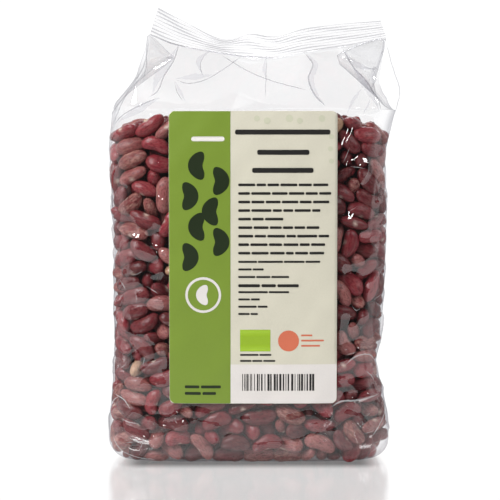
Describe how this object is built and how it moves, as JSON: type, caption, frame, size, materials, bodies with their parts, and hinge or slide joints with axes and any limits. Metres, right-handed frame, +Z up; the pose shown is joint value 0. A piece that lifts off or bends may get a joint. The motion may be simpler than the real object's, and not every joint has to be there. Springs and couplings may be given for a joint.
{
  "type": "bag of dried beans",
  "caption": "Clear side-gusset film bag filled with dried kidney beans, standing upright, with a ribbed top seal and a plain front label.",
  "frame": {"origin": "middle of the bag's box, at the height of the flat base it stands on", "axes": "+Z up from the base to the seal, +X to the right along the front, +Y to the back; the label is on the -Y side"},
  "size_m": [0.1516, 0.0618, 0.2369],
  "materials": {
    "bag": "clear glossy film over dark red dried beans",
    "label": "coated paper, satin"
  },
  "bodies": {
    "root": {"bag": "bag", "label": "label"}
  },
  "joints": []
}
